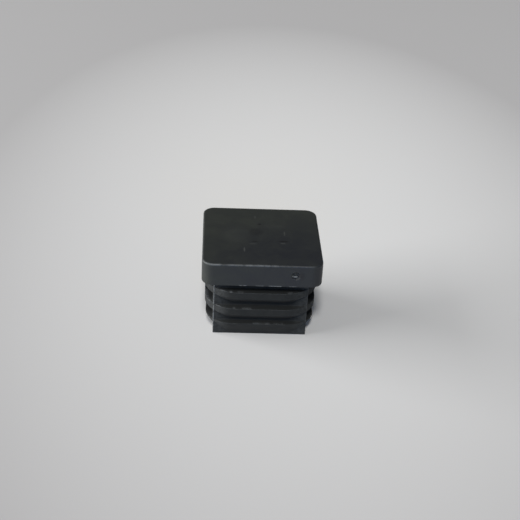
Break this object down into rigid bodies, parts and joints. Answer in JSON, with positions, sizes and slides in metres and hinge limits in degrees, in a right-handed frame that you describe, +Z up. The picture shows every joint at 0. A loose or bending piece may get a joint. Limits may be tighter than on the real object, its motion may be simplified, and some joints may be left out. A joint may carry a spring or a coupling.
{
  "type": "tube end cap",
  "caption": "Square end cap for a square tube: a flat head over a hollow plug with barbed ribs that grip the tube's inside.",
  "frame": {"origin": "middle of the plug's open end, which the cap stands on", "axes": "+Z up through the head; the gate mark on the head's side faces -Y; +X to the right of it"},
  "size_m": [0.025, 0.025, 0.0185],
  "materials": {
    "black_plastic": "satin moulded polyethylene, black"
  },
  "bodies": {
    "root": {"end_cap": "black_plastic"}
  },
  "joints": []
}
